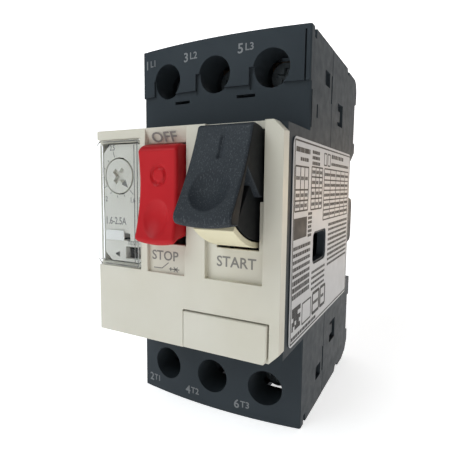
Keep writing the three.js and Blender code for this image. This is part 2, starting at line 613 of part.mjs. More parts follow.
// The clamp is a cage behind the terminal tab: turning the screw draws it forward onto the wire.
function terminalClamp(x) {
  const z = HEIGHT - SCREW_INSET;
  const inner = CLAMP.half - CLAMP.wall;
  const cage = block([x - CLAMP.half, x + CLAMP.half], [CLAMP.back, TAB.d[0] - GAP - CLAMP.travel],
    [z - CLAMP.inner, z + CLAMP.outer]);
  const throat = block([x - inner, x + inner], [CLAMP.back + CLAMP.wall, CHAMBER_FRONT],
    [z - CLAMP.inner - PAST, z + CLAMP.outer + PAST]);
  return cut(cage, throat, shankBore(x, z));
}

// The line side: a tab under the screw, a riser to the back and a contact arm.
function lineContact(x) {
  const z = HEIGHT - SCREW_INSET;
  const wide = [x - CONDUCTOR.half, x + CONDUCTOR.half];
  const low = z - TAB.inner;
  const tab = block([x - TAB.half, x + TAB.half], TAB.d, [low, z + TAB.outer]);
  const run = block(wide, [CONTACT.d[0], TAB.d[1]], [low - 1, low + CONDUCTOR.thick - 1]);
  const arm = block(wide, CONTACT.d, [LINE_PAD - CONDUCTOR.half, low]);
  const pad = alongD(disc(x, LINE_PAD, CONTACT.pad), CONTACT.padD, 5);
  return cut(join(tab, run, arm, pad), shankBore(x, z));
}

function loadTerminal(x) {
  const z = SCREW_INSET;
  const high = z + TAB.inner;
  const tab = block([x - TAB.half, x + TAB.half], TAB.d, [z - TAB.outer, high]);
  const foot = block([x - CONDUCTOR.half, x + CONDUCTOR.half], [28.8, TAB.d[1]],
    [high - 0.2, high + CONDUCTOR.thick - 0.2]);
  return cut(join(tab, foot), shankBore(x, z));
}

poles.forEach((x, index) => {
  const pole = index + 1;
  add(`line_screw_${pole}`, 'steel', terminalScrew(x));
  add(`load_screw_${pole}`, 'steel', upsideDown(terminalScrew(x)));
  add(`line_clamp_${pole}`, 'steel', terminalClamp(x));
  add(`load_clamp_${pole}`, 'steel', upsideDown(terminalClamp(x)));
  add(`line_contact_${pole}`, 'copper', lineContact(x));
  add(`load_terminal_${pole}`, 'copper', loadTerminal(x));
});

// ---------------------------------------------------------------- contacts, coils, bimetals and arc chutes

const BRIDGE = {
  half: 2.2, d: CONTACT.padD[1] + OPEN_GAP, thick: 1.2, z: [29.7, 59.3], pad: 1.7, padDepth: 0.6,
};
const LOAD_ARM = { z: [27.5, 34], lead: 4, leadFront: 20 };
const COIL = { turns: 5, pitch: 1.9, bottom: 14.6, d: 22, radius: 4.5, core: 3.3, wire: 1.3, sides: 20 };
const BIMETAL = { half: 2, d: [36, 36.8], z: [24.2, 40], footD: 39.5, footZ: [23.2, 24.4] };
const CHUTE = {
  plates: 6, pitch: 1.9, thick: 0.9, half: 4.6, d: [20.2, 28.6], bottom: 61.6, cheek: 5,
  cheekZ: [61, 72.9],
};

function loadContact(x) {
  const [left, right] = [x - CONDUCTOR.half, x + CONDUCTOR.half];
  const elbow = [LOAD_ARM.z[0], LOAD_ARM.z[0] + CONDUCTOR.thick];
  const arm = block([left, right], CONTACT.d, LOAD_ARM.z);
  const pad = alongD(disc(x, LOAD_PAD, CONTACT.pad), CONTACT.padD, 5);
  const foot = block([left, x + LOAD_ARM.lead], CONTACT.d, elbow);
  const lead = block([right + 0.1, x + LOAD_ARM.lead], [CONTACT.d[0], LOAD_ARM.leadFront], elbow);
  return join(arm, pad, foot, lead);
}

// A magnetic trip coil: flat turns on a bobbin round an iron core.
function magneticCoil(x) {
  const cylinder = (radius, height, z) => {
    const geometry = new THREE.CylinderGeometry(radius, radius, height, COIL.sides);
    return solid(geometry.rotateX(Math.PI / 2).translate(x, -COIL.d, z));
  };
  const winding = Array.from({ length: COIL.turns }, (_, turn) =>
    cylinder(COIL.radius, COIL.wire, COIL.bottom + 1.2 + turn * COIL.pitch));
  const length = COIL.turns * COIL.pitch;
  return join(cylinder(COIL.core, length + 1.6, COIL.bottom + length / 2 + 0.25), ...winding);
}

function bimetalStrip(x) {
  const wide = [x - BIMETAL.half, x + BIMETAL.half];
  return join(block(wide, BIMETAL.d, BIMETAL.z), block(wide, [BIMETAL.d[0], BIMETAL.footD], BIMETAL.footZ));
}

// An arc chute: a stack of steel plates held in two side cheeks.
function arcChute(x) {
  const plates = Array.from({ length: CHUTE.plates }, (_, row) => {
    const z = CHUTE.bottom + row * CHUTE.pitch;
    return block([x - CHUTE.half, x + CHUTE.half], CHUTE.d, [z, z + CHUTE.thick]);
  });
  const cheeks = [x - CHUTE.cheek, x + CHUTE.cheek].map((middle) =>
    block([middle - CHUTE.thick / 2, middle + CHUTE.thick / 2], CHUTE.d, CHUTE.cheekZ));
  return join(...cheeks, ...plates);
}

function movingContact(x) {
  const back = BRIDGE.d + GAP;
  const bar = block([x - BRIDGE.half, x + BRIDGE.half], [back, back + BRIDGE.thick], BRIDGE.z);
  const pads = [LOAD_PAD, LINE_PAD].map((z) =>
    alongD(disc(x, z, BRIDGE.pad), [BRIDGE.d, BRIDGE.d + BRIDGE.padDepth], 5));
  return join(bar, ...pads);
}

poles.forEach((x, index) => {
  const pole = index + 1;
  add(`load_contact_${pole}`, 'copper', loadContact(x));
  add(`magnetic_coil_${pole}`, 'copper', magneticCoil(x));
  add(`bimetal_strip_${pole}`, 'steel', bimetalStrip(x));
  add(`arc_chute_${pole}`, 'steel', arcChute(x));
  add(`moving_contact_${pole}`, 'copper', movingContact(x));
});

// ---------------------------------------------------------------- contact carrier and its springs

const CARRIER = { half: 19.6, d: [26.2, 29.6], z: [41, 48], middle: 44.5 };
const POST = { half: 3.4, d: [22.9, 27], z: [41.6, 47.4], pocket: 2.5, pocketD: [20, 28.4] };
const CARRIER_STEM = { x: [11.2, 14.8], d: [29, 43.5], z: [46.6, 52] }; // the START plunger pushes on it
const CONTACT_SPRING = { radius: 1.6, wire: 0.3, turns: 4, length: 6.2, d: 21.6 };

function contactCarrier() {
  const bar = block([-CARRIER.half, CARRIER.half], CARRIER.d, CARRIER.z);
  const posts = poles.map((x) => block([x - POST.half, x + POST.half], POST.d, POST.z));
  const pockets = poles.map((x) => alongD(disc(x, CARRIER.middle, POST.pocket), POST.pocketD, 8));
  const stem = block(CARRIER_STEM.x, CARRIER_STEM.d, CARRIER_STEM.z);
  return cut(join(bar, ...posts, stem), ...pockets);
}

add('contact_carrier', 'white', contactCarrier());

poles.forEach((x, index) => {
  const { radius, wire, turns, length, d } = CONTACT_SPRING;
  const coil = spring(radius, wire, turns, length);
  coil.rotateX(Math.PI / 2).translate(x, -d, CARRIER.middle);
  add(`contact_spring_${index + 1}`, 'steel', solid(coil));
});

// ---------------------------------------------------------------- trip bar, latch and mechanism frame

const TRIP = {
  x: [-19.4, 17], d: [43.2, 46.2], z: [42.6, 44.2], finger: [-4, -2.6], fingerD: [38, 45],
  fingerZ: [37.5, 43.6],
};
const LATCH = {
  x: [-4.6, -2.2], d: 42, z: 58, radius: 0.9, hub: 2.4, hubX: [-4.9, -1.9], foot: 46,
  toe: [50, 48.4],
};
const FRAME = { x: [-6.9, 0.1], d: [34.8, 46], z: [52, 63.6], thick: 1.2 };

const tripFingers = poles.map((x) => {
  const wide = TRIP.finger.map((side) => x + side);
  return block(wide, TRIP.fingerD, TRIP.fingerZ);
});
add('trip_bar', 'white', join(block(TRIP.x, TRIP.d, TRIP.z), ...tripFingers));

function latchLever() {
  const hub = alongX(disc(LATCH.d, LATCH.z, LATCH.hub), LATCH.hubX, 8);
  const down = block(LATCH.x, [LATCH.d - 1, LATCH.d + 2.2], [LATCH.foot, LATCH.z]);
  const toe = block(LATCH.x, [LATCH.d, LATCH.toe[0]], [LATCH.foot, LATCH.toe[1]]);
  return cut(join(hub, down, toe), latchBore());
}

function latchBore() {
  return alongX(disc(LATCH.d, LATCH.z, LATCH.radius + GAP), [FRAME.x[0] - PAST, FRAME.x[1] + PAST], 6);
}

add('latch_lever', 'steel', latchLever());

const latchPin = disc(LATCH.d, LATCH.z, LATCH.radius);
add('latch_pin', 'steel', alongX(latchPin, [FRAME.x[0] - GAP, FRAME.x[1] + GAP], 6));

function mechanismFrame() {
  const [left, right] = FRAME.x;
  const back = block(FRAME.x, [FRAME.d[0], FRAME.d[0] + FRAME.thick + 0.2], FRAME.z);
  const cheeks = [left, right - FRAME.thick].map((x) =>
    block([x, x + FRAME.thick], [FRAME.d[0] + FRAME.thick, FRAME.d[1]], FRAME.z));
  return cut(join(back, ...cheeks), latchBore());
}

add('mechanism_frame', 'steel', mechanismFrame());

// ---------------------------------------------------------------- rail clip

const CLIP = { half: 6, nose: RAIL.bottom + 1.4, wing: [5.5, 7.2], wingD: [1.8, 3.6], wingZ: [12.5, 24.5] };
const PRY_SLOT = { half: 3, d: 2, z: [3.5, 5.5] };
const CLIP_SPRING = { radius: 1.05, wire: 0.25, turns: 6, length: 8.2, d: 4.75, z: 1.65 };

function railClip() {
  const side = polygon([[0.3, 1.2], [0.3, 25], [1.2, 26], [1.2, CLIP.nose - 0.8], [3.4, CLIP.nose],
    [5.2, RAIL.bottom], [5.6, 24.5], [5.6, 10.5], [3.2, 10.5], [3.2, 1.2]]);
  const body = alongX(side, [-CLIP.half, CLIP.half]);
  const wings = bothSides(block(CLIP.wing, CLIP.wingD, CLIP.wingZ));
  const slot = block([-PRY_SLOT.half, PRY_SLOT.half], [-PAST, PRY_SLOT.d], PRY_SLOT.z);
  return cut(join(body, wings), slot);
}

add('rail_clip', 'white', railClip());

function clipSpring() {
  const { radius, wire, turns, length, d, z } = CLIP_SPRING;
  return solid(spring(radius, wire, turns, length).translate(0, -d, z));
}

add('rail_clip_spring', 'steel', clipSpring());

export default breaker;
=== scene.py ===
"""The look of a motor protection breaker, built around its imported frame.

The front faces -Y. Sizes are in millimetres unless a comment says otherwise: x runs across, d is a distance
forward of the rear plane, and z runs up. at() turns the three into a point of the frame, in metres.
"""

import json
import math
import random

import bmesh
import bpy
from mathutils import Matrix, Vector
from mathutils.bvhtree import BVHTree


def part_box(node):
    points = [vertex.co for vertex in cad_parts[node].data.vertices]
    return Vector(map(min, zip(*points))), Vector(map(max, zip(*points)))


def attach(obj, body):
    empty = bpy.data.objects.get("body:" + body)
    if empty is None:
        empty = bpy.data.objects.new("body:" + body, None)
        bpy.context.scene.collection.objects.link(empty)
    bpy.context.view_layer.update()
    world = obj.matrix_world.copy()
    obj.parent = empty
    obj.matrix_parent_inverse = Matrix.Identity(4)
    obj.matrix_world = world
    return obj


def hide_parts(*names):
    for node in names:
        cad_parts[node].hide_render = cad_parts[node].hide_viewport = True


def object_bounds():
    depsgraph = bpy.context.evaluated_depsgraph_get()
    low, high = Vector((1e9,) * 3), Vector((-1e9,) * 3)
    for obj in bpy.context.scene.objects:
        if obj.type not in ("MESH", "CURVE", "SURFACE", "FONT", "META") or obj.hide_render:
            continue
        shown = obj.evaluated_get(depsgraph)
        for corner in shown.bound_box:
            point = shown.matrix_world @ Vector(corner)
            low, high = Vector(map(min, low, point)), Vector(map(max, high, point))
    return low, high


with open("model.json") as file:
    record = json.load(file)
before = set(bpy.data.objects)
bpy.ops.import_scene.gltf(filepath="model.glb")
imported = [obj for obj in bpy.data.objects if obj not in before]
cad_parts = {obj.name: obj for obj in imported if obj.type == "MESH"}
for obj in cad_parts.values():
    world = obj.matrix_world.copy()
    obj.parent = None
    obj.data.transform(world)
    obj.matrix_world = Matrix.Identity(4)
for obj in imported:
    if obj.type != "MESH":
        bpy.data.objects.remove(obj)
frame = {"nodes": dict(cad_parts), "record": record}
CAD_BOUNDS = [list(corner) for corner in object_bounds()]

MM = 0.001
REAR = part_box("rear_housing")[1][1]  # the rear plane, in metres


def at(x, d, z):
    """A point of the frame, in metres."""
    return Vector((x * MM, REAR - d * MM, z * MM))


def limits(node, axis):
    """The low and high limits of a CAD solid along one axis of the frame, in millimetres."""
    low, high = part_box(node)
    return low[axis] / MM, high[axis] / MM


SETTING_FRONT = REAR / MM - limits("setting_plate", 1)[0]
TERMINAL_FRONT = 51.8  # the flat face that the terminal marks start from
STOP_FLOOR = 65.1  # floor of the shallow zone that carries the word STOP
START_FLOOR = 64.8  # the same for START
RAMP_FRONT = 65.28  # middle of the slope over the STOP button
RAMP_SLOPE = math.degrees(math.atan2(1.6, 3.0))  # how far that slope leans back from upright
DIAL_X = sum(limits("current_dial", 0)) / 2
DIAL_Z = sum(limits("current_dial", 2)) / 2
DIAL_RADIUS = limits("current_dial", 0)[1] - DIAL_X
DIAL_SETTING = -45  # where the dial's arrow points, in degrees from level

# ---------------------------------------------------------------- materials

# scales of noise, in cells to the metre
CLOUD = 60  # slow changes of colour
CLEAR_RIPPLE = 120
STAIN = 250
HAZE = 900
STREAK = 2600
SPARK_CLOUD, SPARK_GRAIN, SPARK_GLINT = 90, 2600, 5200
GRAIN = 9000  # the fine grain of moulded plastic

# depths of bumps, in metres
SPARK_DEPTH = 0.00008
GRAIN_DEPTH = 0.00002
FINE_DEPTH = 0.00001


class Nodes:
    """Short calls for building one procedural material."""

    def __init__(self, name):
        self.material = bpy.data.materials.new(name)
        self.material.use_nodes = True
        self.tree = self.material.node_tree
        self.shader = self.tree.nodes["Principled BSDF"]
        self.place = self.tree.nodes.new("ShaderNodeTexCoord").outputs["Object"]

    def give(self, socket, value):
        """Links a socket to another, or sets its value, with colours as red, green and blue."""
        if isinstance(value, bpy.types.NodeSocket):
            self.tree.links.new(value, socket)
        elif isinstance(value, tuple) and socket.type == "RGBA":
            socket.default_value = (*value, 1)
        else:
            socket.default_value = value

    def add(self, kind, **inputs):
        """A new node, with its inputs by name and spaces written as underscores."""
        node = self.tree.nodes.new(kind)
        for key, value in inputs.items():
            self.give(node.inputs[key.replace("_", " ")], value)
        return node

    def set(self, **inputs):
        """Sets inputs of the material's shader."""
        for key, value in inputs.items():
            self.give(self.shader.inputs[key.replace("_", " ")], value)

    def noise(self, scale, detail=3.0, roughness=0.5, stretch=None):
        vector = self.place
        if stretch:
            vector = self.add("ShaderNodeMapping", Vector=self.place, Scale=stretch).outputs["Vector"]
        inputs = dict(Vector=vector, Scale=scale, Detail=detail, Roughness=roughness)
        return self.add("ShaderNodeTexNoise", **inputs).outputs["Fac"]

    def spread(self, value, low, high, start=0.3, end=0.7):
        """Maps start..end to low..high."""
        inputs = dict(Value=value, From_Min=start, From_Max=end, To_Min=low, To_Max=high)
        return self.add("ShaderNodeMapRange", **inputs).outputs["Result"]

    def mix(self, amount, first, second):
        node = self.add("ShaderNodeMix")
        node.data_type = "RGBA"
        sockets = [socket for socket in node.inputs if socket.enabled and socket.type == "RGBA"]
        self.give(node.inputs["Factor"], amount)
        self.give(sockets[0], first)
        self.give(sockets[1], second)
        return next(socket for socket in node.outputs if socket.enabled)

    def times(self, first, second):
        node = self.add("ShaderNodeMath")
        node.operation = "MULTIPLY"
        self.give(node.inputs[0], first)
        self.give(node.inputs[1], second)
        return node.outputs["Value"]

    def distance(self):
        """How far a point is from the middle of the frame."""
        node = self.add("ShaderNodeVectorMath")
        node.operation = "LENGTH"
        self.give(node.inputs[0], self.place)
        return node.outputs["Value"]

    def bump(self, height, strength, distance):
        node = self.add("ShaderNodeBump", Height=height, Strength=strength, Distance=distance)
        self.set(Normal=node.outputs["Normal"])


def moulded(name, colour, other, rough, depth=GRAIN_DEPTH, cloud=CLOUD, specular=0.5, ior=1.5):
    """Moulded plastic: a clouded colour, a fine grain and a gloss that varies."""
    nodes = Nodes(name)
    clouds = nodes.spread(nodes.noise(cloud, 4), 0, 1)
    fine = nodes.noise(GRAIN, 2)
    gloss = nodes.spread(nodes.noise(cloud * 6, 3), rough - 0.06, rough + 0.08)
    nodes.set(Base_Color=nodes.mix(clouds, colour, other), Roughness=gloss)
    nodes.set(Specular_IOR_Level=specular, IOR=ior)
    nodes.bump(fine, 0.35, depth)
    return nodes.material


def speckled(name, colour, other, glint_colour):
    """Coarsely spark-eroded plastic: dark, with small lighter spots painted in as the glints of its eroded
    texture.
    """
    nodes = Nodes(name)
    grain = nodes.noise(SPARK_GRAIN, 5, 0.7)
    # painted glints: lighter spots of colour that stand in for light caught by the eroded texture
    painted_glints = nodes.spread(nodes.noise(SPARK_GLINT, 3, stretch=(1, 1, 0.35)), 0, 1, 0.56, 0.68)
    ground = nodes.mix(nodes.spread(nodes.noise(SPARK_CLOUD, 4), 0, 1), colour, other)
    nodes.set(Base_Color=nodes.mix(painted_glints, ground, glint_colour), Roughness=nodes.spread(grain, 0.42, 0.62))
    nodes.set(IOR=1.25)
    nodes.bump(grain, 0.8, SPARK_DEPTH)
    return nodes.material


def metal(name, colour, other, rough, stretch):
    """Plated or drawn metal: fine streaks and faint stains."""
    nodes = Nodes(name)
    stains = nodes.spread(nodes.noise(STAIN, 4), 0, 1)
    streaks = nodes.noise(STREAK, 2, stretch=stretch)
    nodes.set(Base_Color=nodes.mix(stains, colour, other), Metallic=1.0)
    nodes.set(Roughness=nodes.spread(streaks, rough - 0.08, rough + 0.1))
    nodes.bump(streaks, 0.15, FINE_DEPTH)
    return nodes.material


def clear(name, tint):
    """Clear moulded plastic with a faint haze. Its low index keeps what lies behind it in place."""
    nodes = Nodes(name)
    haze = nodes.spread(nodes.noise(HAZE, 3), 0.02, 0.08)
    nodes.set(Base_Color=tint, Roughness=haze, Transmission_Weight=1.0, IOR=1.2)
    nodes.bump(nodes.noise(CLEAR_RIPPLE, 2), 0.05, GRAIN_DEPTH)
    return nodes.material


BLACK = moulded("black_housing", (0.032, 0.040, 0.047), (0.039, 0.048, 0.056), 0.46, ior=1.17)
# a darker black that paints in shade, on the START button's sides and on its plunger
PAINTED_SHADE_BLACK = moulded("shaded_black", (0.010, 0.011, 0.012), (0.014, 0.015, 0.016), 0.5, ior=1.2)
# its third colour is the painted glint of the lighter spots
START = speckled("start_black", (0.021, 0.026, 0.032), (0.033, 0.039, 0.046), (0.062, 0.07, 0.078))
CREAM = moulded("cream_cover", (0.60, 0.575, 0.488), (0.64, 0.62, 0.545), 0.42, FINE_DEPTH, ior=1.3)
PLATE = moulded("setting_cream", (0.72, 0.70, 0.63), (0.77, 0.75, 0.69), 0.45, FINE_DEPTH, ior=1.3)
INSERT = moulded("cream_insert", (0.66, 0.61, 0.42), (0.71, 0.66, 0.47), 0.45, FINE_DEPTH)
RED = moulded("stop_red", (0.43, 0.010, 0.015), (0.51, 0.015, 0.022), 0.4, FINE_DEPTH, ior=1.25)
WHITE = moulded("white_moulding", (0.86, 0.85, 0.82), (0.90, 0.89, 0.86), 0.5)
LABEL = moulded("label_film", (0.48, 0.482, 0.49), (0.54, 0.542, 0.55), 0.4, FINE_DEPTH / 2, specular=0.3)
PRINT = moulded("grey_print", (0.20, 0.195, 0.185), (0.27, 0.26, 0.245), 0.6, specular=0.2)
LABEL_PRINT = moulded("label_print", (0.018, 0.018, 0.018), (0.035, 0.034, 0.033), 0.5, specular=0.2)
PALE_PRINT = moulded("pale_print", (0.16, 0.17, 0.18), (0.22, 0.23, 0.24), 0.6, specular=0.2)
# painted refraction: the dark look that light bending through the window's thick edges gives
PAINTED_REFRACTION = moulded("window_edge", (0.07, 0.07, 0.07), (0.20, 0.20, 0.19), 0.3, cloud=HAZE)
STEEL = metal("plated_steel", (0.60, 0.60, 0.60), (0.50, 0.51, 0.52), 0.3, (1, 1, 12))
# steel darkened as painted shade, for screws that sit deep in their holes
SCREW_STEEL_IN_SHADE = metal("screw_steel", (0.085, 0.10, 0.11), (0.13, 0.15, 0.16), 0.34, (1, 1, 1))
# a dull, dark copper: partly the plated strip's tone, partly painted shade deep in the terminal holes
COPPER = metal("copper_strip", (0.34, 0.24, 0.18), (0.26, 0.18, 0.13), 0.32, (1, 8, 1))
CLEAR = clear("clear_window", (0.96, 0.98, 0.99))

SLOT_MATERIALS = {
    "black_housing": BLACK,
    "cream_cover": CREAM,
    "cream_insert": INSERT,
    "start_black": START,
    "stop_red": RED,
    "clear_window": CLEAR,
    "label_film": LABEL,
    "steel": STEEL,
    "copper": COPPER,
    "white_moulding": WHITE,
}
NODE_SLOT = {part["node"]: part["material_slot"] for part in frame["record"]["subparts"]}
NODE_BODY = {node: body for body, nodes in frame["record"]["behaviour"]["bodies"].items() for node in nodes}

# ---------------------------------------------------------------- pieces

JOIN = 0.002  # CAD corners closer than this are one corner
FLAT = 1  # CAD facets that meet within this many degrees are one face
BEVELLED = 30  # edges sharper than this, in degrees, are rounded
CREASE = 35  # edges sharper than this, in degrees, are shaded as edges
KEY_CREASE = 40  # the same, for the push buttons


def piece(name, mesh, body, material, slot, *nodes):
    """Puts a mesh in the scene as a piece of the visual model, in place of any CAD solids named."""
    thing = bpy.data.objects.new(name, mesh)
    bpy.context.collection.objects.link(thing)
    mesh.materials.clear()
    mesh.materials.append(material)
    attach(thing, body)
    if nodes:
        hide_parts(*nodes)
    return thing


def smooth(mesh, angle=CREASE):
    for face in mesh.polygons:
        face.use_smooth = True
    mesh.set_sharp_from_angle(angle=math.radians(angle))


def closed_mesh(name, points, faces):
    """A mesh from points and faces, with every face turned outwards."""
    mesh = bpy.data.meshes.new(name)
    mesh.from_pydata(points, [], faces)
    build = bmesh.new()
    build.from_mesh(mesh)
    bmesh.ops.recalc_face_normals(build, faces=build.faces)
    build.to_mesh(mesh)
    build.free()
    return mesh


def soften(thing, width, segments):
    """Rounds the sharp edges as a mould does, and leaves the piece as a plain mesh."""
    bevel = thing.modifiers.new("bevel", "BEVEL")
    bevel.width = width * MM
    bevel.segments = segments
    bevel.limit_method = "ANGLE"
    bevel.angle_limit = math.radians(BEVELLED)
    bevel.miter_outer = "MITER_ARC"
    even = thing.modifiers.new("even_normals", "WEIGHTED_NORMAL")
    even.keep_sharp = True
    bpy.context.view_layer.update()
    shaped = thing.evaluated_get(bpy.context.evaluated_depsgraph_get())
    mesh = bpy.data.meshes.new_from_object(shaped)
    thing.modifiers.clear()
    thing.data = mesh


def refined(node, width, segments=2, material=None):
    """A CAD solid with its facets joined up and its edges rounded, in place of the solid."""
    build = bmesh.new()
    build.from_mesh(frame["nodes"][node].data)
    bmesh.ops.remove_doubles(build, verts=build.verts, dist=JOIN * MM)
    bmesh.ops.dissolve_limit(build, angle_limit=math.radians(FLAT), verts=build.verts, edges=build.edges)
    mesh = bpy.data.meshes.new(node + "_shape")
    build.to_mesh(mesh)
    build.free()
    smooth(mesh)
    slot = NODE_SLOT[node]
    thing = piece(node + "_shape", mesh, NODE_BODY[node], material or SLOT_MATERIALS[slot], slot, node)
    soften(thing, width, segments)


# ---------------------------------------------------------------- push buttons

END_STEPS = 6  # steps around each rounded end of a key
MIDDLE_STEPS = 44  # and across the stretch between its ends
SIDE_FACING = 0.8  # how squarely a face of a key looks sideways to count as its plain side, which is painted darker as shade


def curve_points(start, bend, end, count):
    """A quadratic curve from start to end, pulled towards bend."""
    points = []
    for step in range(count + 1):
        t = step / count
        first, second, third = (1 - t) ** 2, 2 * t * (1 - t), t * t
        points.append(tuple(start[k] * first + bend[k] * second + end[k] * third for k in (0, 1)))
    return points


def outward(section):
    """The outward direction at each point of a closed (d, z) outline."""
    following = section[1:] + section[:1]
    area = sum(here[0] * after[1] - after[0] * here[1] for here, after in zip(section, following))
    sign = 1 if area > 0 else -1
    directions = []
    for index, after in enumerate(following):
        before = section[index - 1]
        along = Vector((after[0] - before[0], after[1] - before[1]))
        along.normalize()
        directions.append(Vector((along.y * sign, -along.x * sign)))
    return directions


def stations(low, high, radius):
    """Places across a key, close together where its ends are rounded."""
    ends = [radius * (1 - math.cos(math.pi / 2 * step / END_STEPS)) for step in range(END_STEPS + 1)]
    left = [low + end for end in ends]
    right = [high - end for end in reversed(ends)]
    gap = (right[0] - left[-1]) / MIDDLE_STEPS
    return left + [left[-1] + gap * step for step in range(1, MIDDLE_STEPS)] + right


def lofted(name, count, places, shift):
    """A closed mesh from an outline of count points repeated across x. Each point is shift(x, index)."""
    points = [at(*shift(x, index)) for x in places for index in range(count)]
    faces = []
    for row in range(len(places) - 1):
        low, high = row * count, (row + 1) * count
        for index in range(count):
            after = (index + 1) % count
            faces.append((low + index, low + after, high + after, high + index))
    faces.append(tuple(reversed(range(count))))
    faces.append(tuple((len(places) - 1) * count + index for index in range(count)))
    mesh = closed_mesh(name, points, faces)
    smooth(mesh, KEY_CREASE)
    return mesh


def dish(distance, depth):
    """Depth of a round finger dish, deepest in the middle. The distance is 1 at its rim."""
    if distance >= 1:
        return 0
    return depth * (1 - distance ** 2) ** 0.85


def face_of(top, face):
    """The indices that a face has in an outline of one point, the top and then the face."""
    return range(len(top), len(top) + len(face) - 1)


def key(node, section, face, radius, relief, flare):
    """A push button: its (d, z) outline run across x, with rounded ends and relief sunk in its face.

    face holds the indices of the outline's face, relief(x, z) is a depth, and flare(x, z) gives how much
    wider the button is there and how far it drops.
    """
    normals = outward(section)
    low, high = limits(node, 0)
    centre = (low + high) / 2

    def shift(x, index):
        edge = min(x - low, high - x)
        inset = radius - math.sqrt(max(0, radius ** 2 - (radius - edge) ** 2)) if edge < radius else 0
        d, z = section[index]
        if index in face:
            inset += relief(x, z)
        d, z = d - normals[index].x * inset, z - normals[index].y * inset
        wide, drop = flare(x, z)
        return centre + (x - centre) * wide, d, z - drop

    mesh = lofted(node + "_shape", len(section), stations(low, high, radius), shift)
    slot = NODE_SLOT[node]
    return piece(node + "_shape", mesh, NODE_BODY[node], SLOT_MATERIALS[slot], slot, node)


def stop_button():
    """Waisted from the front, hollow from the side, with a ring over a finger dish."""
    end_radius = 0.75
    top_edge, hollow, low_edge = (69.0, 62.2), (67.9, 53), (70.3, 44.6)
    back, under = (62.5, 63.6), [(68.0, 44.3), (62.5, 45.2)]
    face = curve_points(top_edge, hollow, low_edge, 60)
    top = curve_points((66.6, 63.7), (68.4, 63.4), top_edge, 5)
    bottom = curve_points(low_edge, (70.4, 43.8), (69.4, 43.6), 5)
    section = [back] + top + face[1:] + bottom[1:] + under
    dish_x, dish_z, dish_wide, dish_high, dish_depth = -3.35, 48.6, 3.2, 3.7, 0.9
    ring_x, ring_z, ring_radius, ring_width, ring_depth = -3.2, 57.2, 1.75, 0.32, 0.45
    middle, half, waist_z, waist_high, waist = -3.4, 4.9, 54, 5.5, 0.035
    foot_z, foot_high, foot_flare, foot_bow = 47, 3, 0.012, 0.55

    def relief(x, z):
        depth = dish(math.hypot((x - dish_x) / dish_wide, (z - dish_z) / dish_high), dish_depth)
        from_ring = (math.hypot(x - ring_x, z - ring_z) - ring_radius) / ring_width
        return depth + ring_depth * math.exp(-(from_ring ** 4))

    def flare(x, z):
        waisted = math.exp(-(((z - waist_z) / waist_high) ** 2))
        bow = 1 - ((x - middle) / half) ** 2
        foot = max(0, (foot_z - z) / foot_high)
        return 1 - waist * waisted + foot_flare * foot, foot_bow * bow * foot

    key("stop_button", section, face_of(top, face), end_radius, relief, flare)


def start_button():
    """A wedge that leans out over its foot, with a stroke over a finger dish and plain sides painted darker
    as shade.
    """
    end_radius = 0.5
    top_edge, hollow, lip_edge = (69.9, 66.0), (72.5, 58.6), (77.75, 50.7)
    face = curve_points(top_edge, hollow, lip_edge, 90)
    top = curve_points((68.4, 66.5), (69.6, 66.5), top_edge, 4)
    lip = curve_points(lip_edge, (78.35, 49.4), (77.4, 48.7), 6)
    under = [(75.2, 48.7), (71.9, 58.6), (66.4, 53.2), (64.6, 53.2), (64.2, 65.3)]
    section = [(66.2, 66.2)] + top + face[1:] + lip[1:] + under
    face_slope = math.radians(28)
    dish_x, dish_z, dish_radius, dish_depth = 12.6, 54.7, 3.9, 1.35
    stroke_x, stroke_z, stroke_depth = 12.8, 62.2, 0.35
    stroke_half_wide, stroke_half_high, stroke_soft = 0.18, 1.9, 0.16
    middle, half, foot_z, foot_high, foot_bow = 12.7, 5.7, 52.5, 3, 0.45

    def relief(x, z):
        along = (z - dish_z) / math.cos(face_slope)
        depth = dish(math.hypot(x - dish_x, along) / dish_radius, dish_depth)
        beyond = max(abs(x - stroke_x) - stroke_half_wide, 0) + max(abs(z - stroke_z) - stroke_half_high, 0)
        return depth + stroke_depth * math.exp(-((beyond / stroke_soft) ** 2))

    def flare(x, z):
        bow = 1 - ((x - middle) / half) ** 2
        return 1, foot_bow * bow * max(0, (foot_z - z) / foot_high)

    mesh = key("start_button", section, face_of(top, face), end_radius, relief, flare).data
    # the sides take the darker black as painted shade; they also lack the face's eroded grain
    mesh.materials.append(PAINTED_SHADE_BLACK)
    for side in mesh.polygons:
        if abs(side.normal.x) > SIDE_FACING:
            side.material_index = 1


# ---------------------------------------------------------------- lettering and marks

LIFT = 0.03  # how far print stands off its surface
REACH = 5  # how far in front of a surface print is laid from
BOLD = 0.022  # how much the strokes of letters are fattened, as a part of their height
TEXT_SIZE = 1.42  # size of the built-in font, as a part of the height of its capitals
LETTER_DEPTH = 0.008
ON_COVER = dict(body="housing", slot="cream_cover", material=PRINT)
ON_TERMINALS = dict(body="housing", slot="black_housing", material=PALE_PRINT, on="front_housing")


def lay_on(mesh, node, start):
    """Presses print onto the front of a CAD solid, keeping its thickness, where the solid lies behind it."""
    solid = frame["nodes"][node]
    corners = [solid.matrix_world @ vertex.co for vertex in solid.data.vertices]
    tree = BVHTree.FromPolygons(corners, [face.vertices[:] for face in solid.data.polygons])
    for vertex in mesh.vertices:
        origin = Vector((vertex.co.x, start.y - REACH * MM, vertex.co.z))
        hit = tree.ray_cast(origin, Vector((0, 1, 0)))[0]
        if hit:
            vertex.co.y += hit.y - LIFT * MM - start.y


